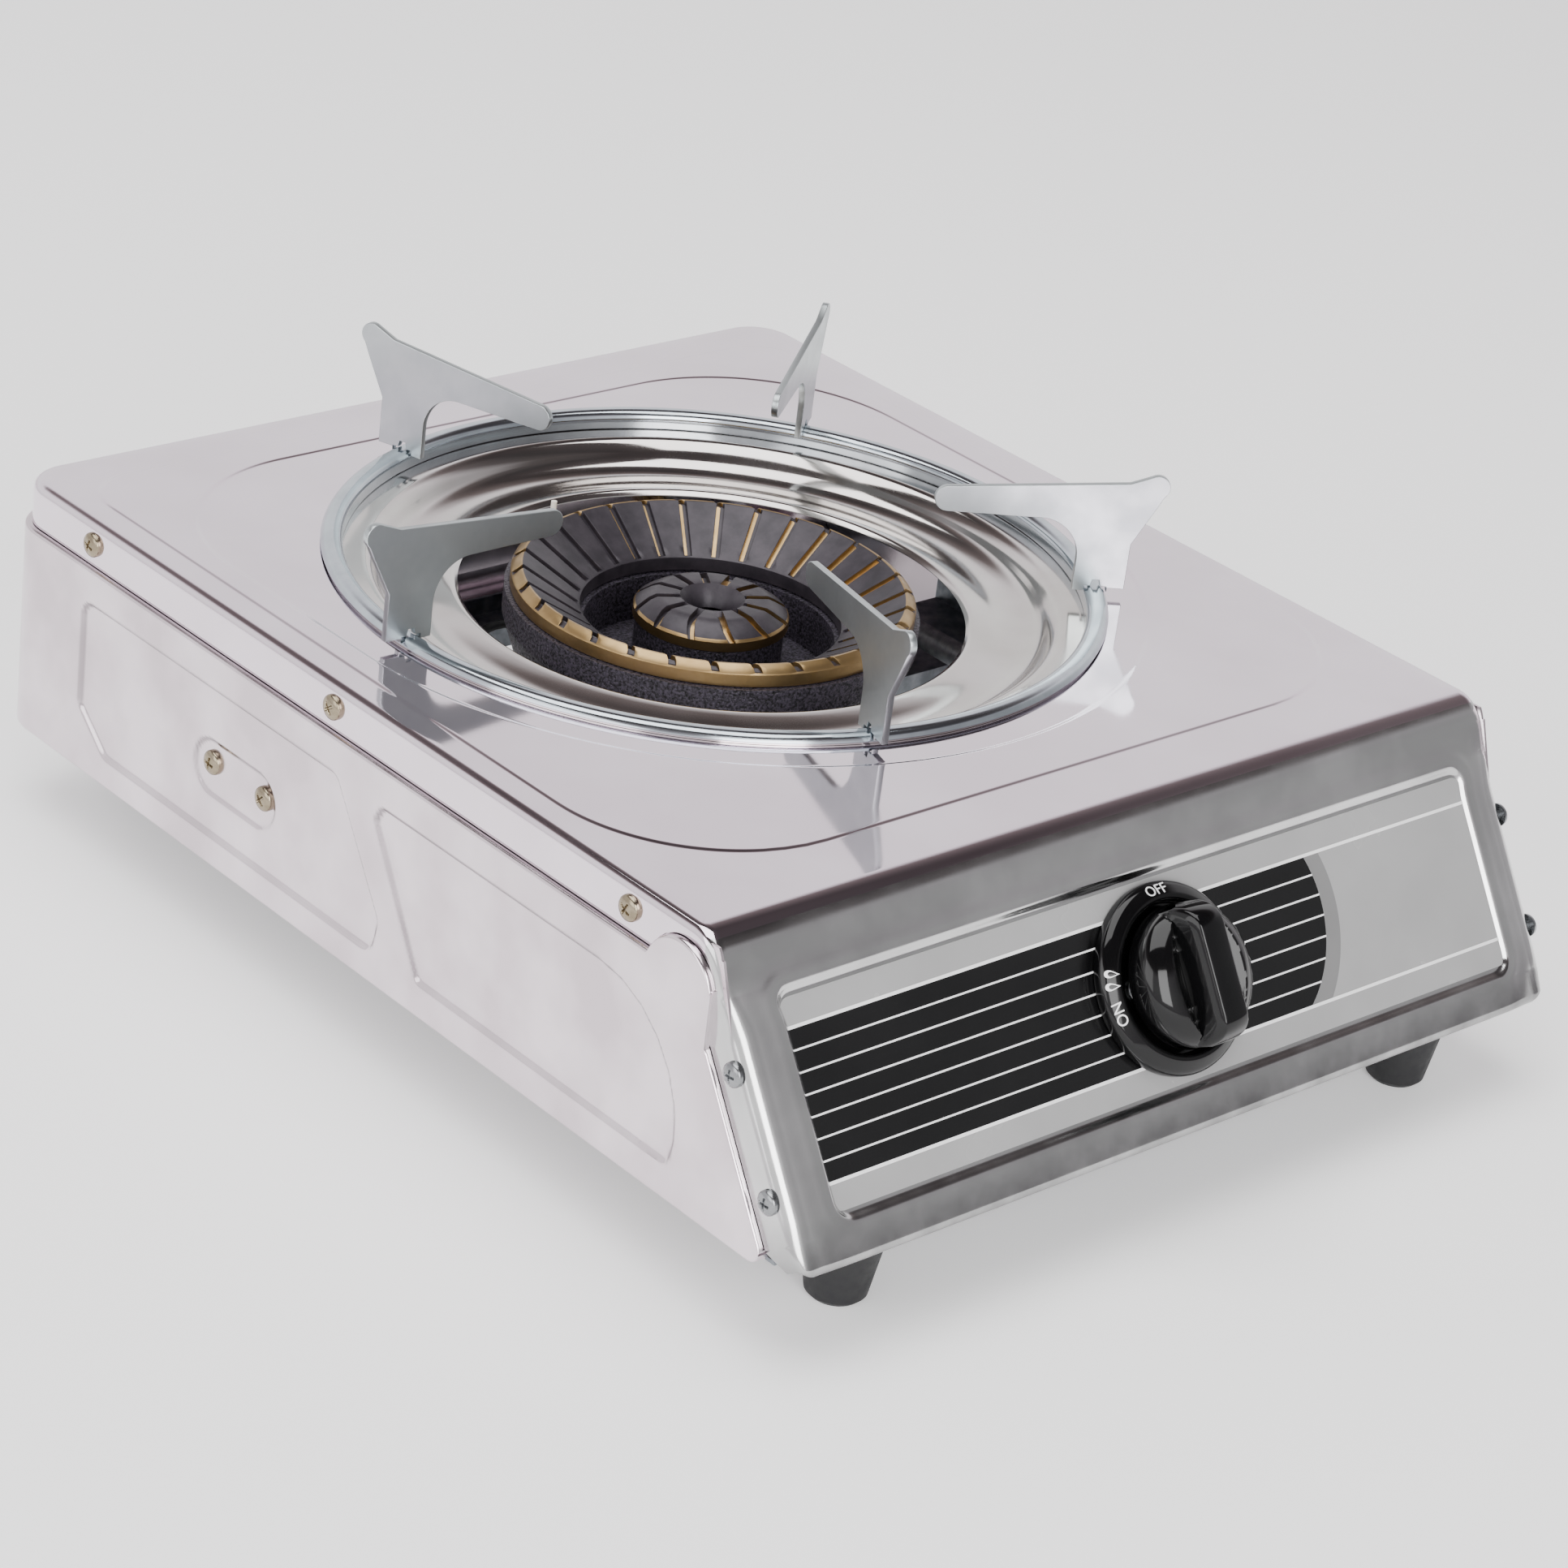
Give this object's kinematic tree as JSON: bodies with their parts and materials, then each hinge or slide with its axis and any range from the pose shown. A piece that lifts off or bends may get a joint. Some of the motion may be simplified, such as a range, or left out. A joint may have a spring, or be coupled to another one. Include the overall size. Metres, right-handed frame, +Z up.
{
  "type": "single-burner table-top gas stove",
  "caption": "Low table-top gas stove in pressed stainless sheet with a round burner, lift-off pan support and drip pan, and a push-and-turn knob on a sloping front.",
  "frame": {"origin": "middle of the bounding box's bottom face, on the table", "axes": "+X to the right, +Y to the back, +Z up, seen from the side of the knob"},
  "size_m": [0.2984, 0.3972, 0.1424],
  "materials": {
    "stainless": "brushed",
    "stainless_bright": "polished",
    "galvanised": "satin",
    "zinc": "satin",
    "nickel_screws": "satin",
    "cast_black": "matte",
    "brass": "satin",
    "gloss_black": "gloss",
    "rubber": "matte",
    "label": "matte",
    "valve_metal": "satin",
    "ceramic": "gloss"
  },
  "bodies": {
    "chassis": {"top_cover": "stainless", "left_side_panel": "stainless", "right_side_panel": "stainless", "rear_panel": "stainless", "front_foot_rail": "galvanised", "rear_foot_rail": "galvanised", "foot_front_left": "rubber", "foot_front_right": "rubber", "foot_rear_left": "rubber", "foot_rear_right": "rubber", "foot_screws": "zinc", "front_label": "label", "knob_bezel": "gloss_black", "cover_screws": "nickel_screws", "flange_screws": "zinc", "rear_screws": "zinc", "bracket_screws": "nickel_screws", "burner_bracket": "galvanised", "burner_casting": "cast_black", "burner_screw": "zinc", "valve_body": "valve_metal", "valve_screws": "zinc", "outer_jet": "brass", "inner_jet": "brass", "piezo_igniter": "gloss_black", "ignition_lead": "rubber", "electrode_clip": "galvanised", "spark_electrode": "ceramic", "gas_pipe": "valve_metal", "hose_nozzle": "brass", "nozzle_nut": "brass", "return_spring": "zinc"},
    "outer_shutter": {"outer_air_shutter": "galvanised"},
    "inner_shutter": {"inner_air_shutter": "galvanised"},
    "pan": {"drip_pan": "stainless_bright"},
    "pan_support": {"support_ring": "zinc", "support_arm_1": "zinc", "support_arm_2": "zinc", "support_arm_3": "zinc", "support_arm_4": "zinc", "support_arm_5": "zinc"},
    "outer_cap": {"outer_burner_cap": "brass"},
    "inner_cap": {"inner_burner_cap": "brass"},
    "knob_push": {"thrust_washer": "zinc"},
    "knob_turn": {"knob": "gloss_black", "valve_stem": "brass"}
  },
  "joints": [
    {"name": "drip_pan_lift", "type": "slide", "parent": "chassis", "child": "pan", "axis": [0, 0, 1], "range_m": [0, 0.06]},
    {"name": "pan_support_lift", "type": "slide", "parent": "pan", "child": "pan_support", "axis": [0, 0, 1], "range_m": [0, 0.05]},
    {"name": "outer_cap_lift", "type": "slide", "parent": "chassis", "child": "outer_cap", "axis": [0, 0, 1], "range_m": [0, 0.04]},
    {"name": "inner_cap_lift", "type": "slide", "parent": "chassis", "child": "inner_cap", "axis": [0, 0, 1], "range_m": [0, 0.04]},
    {"name": "knob_push", "type": "slide", "parent": "chassis", "child": "knob_push", "axis": [0, 0.8387, -0.5446], "range_m": [0, 0.004], "stiffness_N_per_m": 1500, "springref_m": -0.002, "deforming": ["return_spring"]},
    {"name": "knob_turn", "type": "hinge", "parent": "knob_push", "child": "knob_turn", "pos_m": [0, -0.16926, 0.06358], "axis": [0, -0.8387, 0.5446], "range_deg": [0, 90]},
    {"name": "outer_shutter_turn", "type": "hinge", "parent": "chassis", "child": "outer_shutter", "pos_m": [0.015, -0.09165, 0.05], "axis": [0, 1, 0], "range_deg": [-40, 40]},
    {"name": "inner_shutter_turn", "type": "hinge", "parent": "chassis", "child": "inner_shutter", "pos_m": [-0.015, -0.09165, 0.05], "axis": [0, 1, 0], "range_deg": [-40, 40]}
  ]
}
